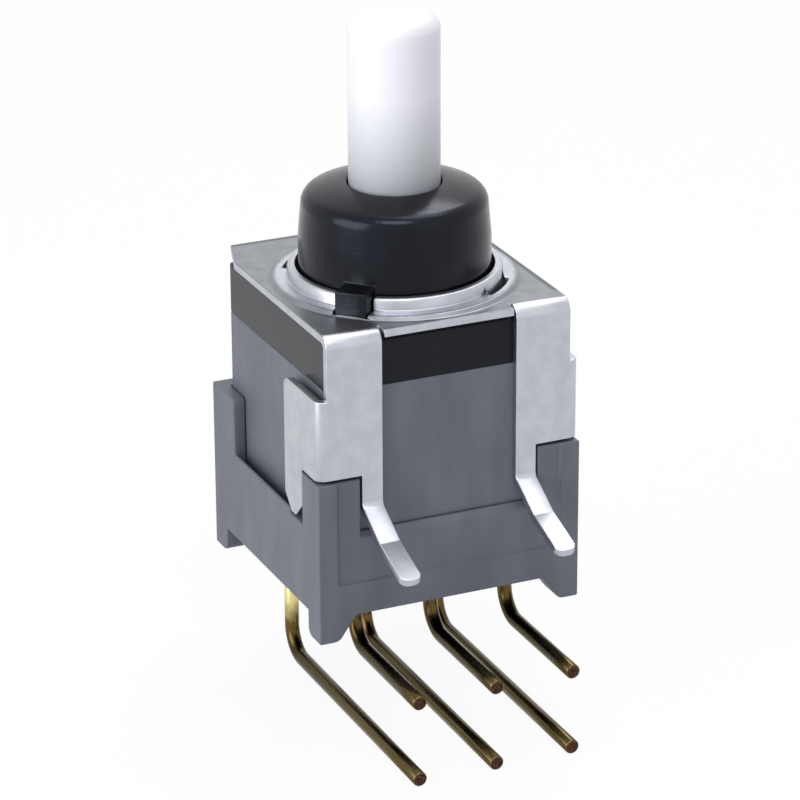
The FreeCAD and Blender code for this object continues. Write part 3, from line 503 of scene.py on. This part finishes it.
# The node's own form with its sharp edges rounded as moulding or pressing leaves them.
# The work is done in millimetres, because the bevel is too coarse for metres.
def roundedPiece(node, edgeRound):
    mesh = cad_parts[node].data.copy()
    mesh.name = node + "_form"
    mesh.transform(Matrix.Scale(1 / millimetre, 4))
    form = bmesh.new()
    form.from_mesh(mesh)
    bmesh.ops.remove_doubles(form, verts=form.verts, dist=edgeWork["weld"])
    bmesh.ops.dissolve_limit(
        form, angle_limit=radians(edgeWork["flatAngle"]), verts=form.verts, edges=form.edges,
        delimit={"NORMAL"},
    )
    form.normal_update()
    leastAngle = radians(edgeWork["sharpAngle"])
    sharp = [
        edge for edge in form.edges
        if len(edge.link_faces) == 2 and edge.calc_face_angle(0) > leastAngle
    ]
    bmesh.ops.bevel(
        form, geom=sharp, offset=edgeRound, offset_type="OFFSET", segments=edgeWork["steps"],
        profile=0.5, affect="EDGES", clamp_overlap=False,
    )
    for face in form.faces:
        face.smooth = True
    form.to_mesh(mesh)
    form.free()
    mesh.transform(Matrix.Scale(millimetre, 4))
    piece = bpy.data.objects.new(node + "_finished", mesh)
    scene.collection.objects.link(piece)
    normals = piece.modifiers.new("evenNormals", "WEIGHTED_NORMAL")
    normals.keep_sharp = False
    return piece


# The moulded and pressed pieces: finish, how far edges are rounded in millimetres, and body.
roundedPieces = {
    "bushing": ("black_nylon", 0.05, "housing"),
    "bracket": ("tinned_sheet", 0.03, "housing"),
    "case": ("grey_plastic", 0.04, "housing"),
    "base": ("grey_plastic", 0.045, "housing"),
    "plunger": ("white_nylon", 0.03, "plunger"),
}

for node, (slotName, edgeRound, body) in roundedPieces.items():
    standsFor(paint(roundedPiece(node, edgeRound), slotName), node, body)
    print("rounded:", node)

# Parts inside, and the resin below, keep their own form.
innerFinish = {
    "cam_pin": "pin_steel",
    "plunger_seal": "seal_rubber",
    "seal_washer": "carrier_plastic",
    "terminal_seal": "potting_resin",
    "contact_carrier": "carrier_plastic",
    "moving_contact_front": "gold_plate",
    "moving_contact_rear": "gold_plate",
    "contact_spring_front": "spring_steel",
    "contact_spring_rear": "spring_steel",
}
for node, slotName in innerFinish.items():
    paint(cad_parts[node], slotName)
print("inner parts painted:", len(innerFinish))


def makeReturnSpring():
    node = "return_spring"
    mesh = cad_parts[node].data.copy()
    mesh.name = node + "_form"
    for face in mesh.polygons:
        face.use_smooth = True
    spring = bpy.data.objects.new(node + "_finished", mesh)
    scene.collection.objects.link(spring)
    standsFor(paint(spring, "spring_steel"), node)
    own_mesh(spring)


makeReturnSpring()
print("return spring made")

# Leads: a round wire that drops from its contact pad, bends to the board and ends in a cut face.
# Sizes are in millimetres and match the frame's terminals.
leadForm = {
    "pitch": 2.54,
    "radius": 0.23,
    "bend": 0.9,
    "padThick": 0.2,
    "padInner": 1.9,
    "padOuter": 2.85,
    "padRound": 0.03,
    "burr": 0.04,
    "sides": 28,
    "bendSteps": 14,
}
leadColumns = {"left": -1, "centre": 0, "right": 1}
leadRows = {"front": -1, "rear": 1}


# The wire's rings as (y, z, turn, radius, distance past the start of the bend).
def leadRings(startY, top, level, tipY):
    bend, radius, burr = leadForm["bend"], leadForm["radius"], leadForm["burr"]
    rings = [(startY, top, 0, radius, level + bend - top)]
    for step in range(leadForm["bendSteps"] + 1):
        turn = pi / 2 * step / leadForm["bendSteps"]
        y = startY - bend + bend * cos(turn)
        z = level + bend - bend * sin(turn)
        rings.append((y, z, turn, radius, bend * turn))
    run = startY - bend - tipY
    quarter = bend * pi / 2
    for share in (0.25, 0.5, 0.75):
        rings.append((startY - bend - run * share, level, pi / 2, radius, quarter + run * share))
    rings.append((tipY + burr, level, pi / 2, radius, quarter + run - burr))
    rings.append((tipY, level, pi / 2, radius - burr, quarter + run))
    return rings


def addWire(form, past, across, rings):
    sides = leadForm["sides"]
    loops = []
    for y, z, turn, radius, distance in rings:
        loop = []
        for side in range(sides):
            angle = 2 * pi * side / sides
            out = radius * sin(angle)
            spot = (across + radius * cos(angle), y - out * cos(turn), z + out * sin(turn))
            point = form.verts.new(spot)
            point[past] = distance
            loop.append(point)
        loops.append(loop)
    for upper, lower in zip(loops, loops[1:]):
        for side in range(sides):
            after = (side + 1) % sides
            face = form.faces.new((upper[side], lower[side], lower[after], upper[after]))
            face.smooth = True
    form.faces.new(loops[0])
    form.faces.new(reversed(loops[-1])).material_index = 1


# The pad is made in a form of its own. Wire faces that follow the bevel in one form come in another
# order each run.
def makePad(name, low, high, row):
    near, far = sorted((row * leadForm["padInner"], row * leadForm["padOuter"]))
    size = Vector((high.x - low.x, far - near, leadForm["padThick"]))
    middle = Vector(((high.x + low.x) / 2, (near + far) / 2, high.z - leadForm["padThick"] / 2))
    form = bmesh.new()
    bmesh.ops.create_cube(form, matrix=Matrix.Translation(middle) @ Matrix.Diagonal((*size, 1)))
    edges = form.edges[:]
    bmesh.ops.bevel(form, geom=edges, offset=leadForm["padRound"], segments=2, affect="EDGES")
    mesh = bpy.data.meshes.new(name)
    form.to_mesh(mesh)
    form.free()
    return mesh


def makeLead(node, column, row):
    low, high = (Vector(corner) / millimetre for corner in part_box(node))
    top = high.z - leadForm["padThick"]
    level = low.z + leadForm["radius"]
    rings = leadRings(row * leadForm["pitch"], top, level, low.y)
    mesh = makePad(node + "_form", low, high, row)
    form = bmesh.new()
    form.from_mesh(mesh)
    past = form.verts.layers.float.new("pastBend")
    for point in form.verts:
        point[past] = rings[0][4]
    addWire(form, past, column * leadForm["pitch"], rings)
    bmesh.ops.recalc_face_normals(form, faces=form.faces)
    form.to_mesh(mesh)
    form.free()
    mesh.transform(Matrix.Scale(millimetre, 4))
    for material in leadMaterials:
        mesh.materials.append(material)
    lead = bpy.data.objects.new(node + "_finished", mesh)
    scene.collection.objects.link(lead)
    standsFor(lead, node)


for rowName, row in leadRows.items():
    for columnName, column in leadColumns.items():
        makeLead(f"terminal_{rowName}_{columnName}", column, row)
print("leads made")

# Camera: where the photograph was taken from, as fitted to the lead grid.
cameraView = {
    "azimuth": -24.04,
    "elevation": 22.31,
    "roll": -0.28,
    "distance": 0.120,
    "target": (-0.000185, -0.000751, -0.004275),
    "focalPixels": 3909,
    "imageSide": 800,
    "sensor": 36,
    "clip": (0.002, 5),
}


def placeCamera():
    across = radians(cameraView["azimuth"])
    above = radians(cameraView["elevation"])
    back = Vector((sin(across) * cos(above), -cos(across) * cos(above), sin(above)))
    right = Vector((cos(across), sin(across), 0))
    up = back.cross(right)
    roll = radians(cameraView["roll"])
    right = right * cos(roll) + up * sin(roll)
    up = back.cross(right)
    lens = bpy.data.cameras.new("productCamera")
    lens.sensor_width = cameraView["sensor"]
    lens.lens = cameraView["focalPixels"] * cameraView["sensor"] / cameraView["imageSide"]
    lens.clip_start, lens.clip_end = cameraView["clip"]
    camera = bpy.data.objects.new("productCamera", lens)
    turn = Matrix((right, up, back)).transposed().to_4x4()
    place = Vector(cameraView["target"]) + back * cameraView["distance"]
    camera.matrix_world = Matrix.Translation(place) @ turn
    scene.collection.objects.link(camera)
    scene.camera = camera


placeCamera()


# One where the camera, metal or glass looks at a backdrop, and nothing where it only lights others.
def lookedAt(tree):
    rays = addNode(tree, "ShaderNodeLightPath")
    seen = rays.outputs["Is Camera Ray"]
    for ray in ("Is Glossy Ray", "Is Transmission Ray"):
        either = addNode(tree, "ShaderNodeMath", {0: seen, 1: rays.outputs[ray]}, operation="MAXIMUM")
        seen = either.outputs[0]
    return seen


# Floor: pale and plain. To the camera it is nearly white and keeps a soft share of the shadow.
# The side is in metres and the grain in millimetres.
floorLook = {"side": 2.0, "low": "#f0f0f0", "high": "#efefef", "grain": 8.0, "glow": 0.93}


def makeFloor():
    material, tree = newMaterial("paleBackdrop")
    grain = addNode(tree, "ShaderNodeTexNoise", {
        "Vector": millimetres(tree).outputs[0],
        "Scale": 1 / floorLook["grain"],
        "Detail": patternDetail,
    })
    tone = addNode(tree, "ShaderNodeValToRGB", {"Fac": grain.outputs[0]}, twoShades(floorLook))
    matt = addNode(tree, "ShaderNodeBsdfDiffuse", {"Color": tone.outputs[0]})
    glow = addNode(tree, "ShaderNodeEmission", {"Color": (1, 1, 1, 1), "Strength": 1.0})
    share = addNode(tree, "ShaderNodeMath", {
        0: lookedAt(tree), 1: floorLook["glow"],
    }, operation="MULTIPLY")
    shader = addNode(tree, "ShaderNodeMixShader", {
        0: share.outputs[0], 1: matt.outputs[0], 2: glow.outputs[0],
    })
    finishMaterial(tree, shader)
    half = floorLook["side"] / 2
    level = cadBounds[0][2]
    mesh = bpy.data.meshes.new("floor")
    corners = [(-half, -half, level), (half, -half, level), (half, half, level), (-half, half, level)]
    mesh.from_pydata(corners, [], [(0, 1, 2, 3)])
    mesh.materials.append(material)
    floor = bpy.data.objects.new("floor", mesh)
    scene.collection.objects.link(floor)


makeFloor()

# Soft boxes: direction from the switch, distance and sides in metres, power in watts.
softBoxes = {
    "keyLeft": {"from": (-1.0, -0.2, 0.3), "distance": 0.14, "sides": (0.1, 0.1), "power": 0.13},
    "overhead": {"from": (0.28, 0.1, 0.95), "distance": 0.14, "sides": (0.08, 0.07), "power": 0.05},
    "frontTop": {"from": (-0.2, -0.5, 0.84), "distance": 0.12, "sides": (0.06, 0.04), "power": 0.045},
    "behind": {"from": (0.36, 0.47, 0.8), "distance": 0.13, "sides": (0.05, 0.05), "power": 0.04},
    "fillFront": {"from": (0.25, -1.0, 0.3), "distance": 0.18, "sides": (0.12, 0.12), "power": 0.01},
}
# Where the lamps aim, in metres.
lampsAimAt = (0, 0, -0.004)


def placeLights():
    middle = Vector(lampsAimAt)
    for name, box in softBoxes.items():
        lamp = bpy.data.lights.new(name, "AREA")
        lamp.shape = "RECTANGLE"
        lamp.size, lamp.size_y = box["sides"]
        lamp.energy = box["power"]
        light = bpy.data.objects.new(name, lamp)
        towards = Vector(box["from"]).normalized()
        light.location = middle + towards * box["distance"]
        light.rotation_euler = towards.to_track_quat("Z", "Y").to_euler()
        scene.collection.objects.link(light)


placeLights()

# World: a plain room light, and white wherever the camera, metal or glass looks past the object.
roomLight = {"colour": "#f4f6fa", "strength": 0.42}


def makeWorld():
    world = bpy.data.worlds.new("studio")
    world.use_nodes = True
    scene.world = world
    tree = world.node_tree
    tree.nodes.clear()
    room = addNode(tree, "ShaderNodeBackground", {
        "Color": linearColour(roomLight["colour"]), "Strength": roomLight["strength"],
    })
    white = addNode(tree, "ShaderNodeBackground", {"Color": (1, 1, 1, 1), "Strength": 1.0})
    mixed = addNode(tree, "ShaderNodeMixShader", {
        0: lookedAt(tree), 1: room.outputs[0], 2: white.outputs[0],
    })
    output = addNode(tree, "ShaderNodeOutputWorld")
    tree.links.new(mixed.outputs[0], output.inputs["Surface"])


makeWorld()
scene.view_settings.view_transform = "Standard"
print("camera, floor and lights placed")
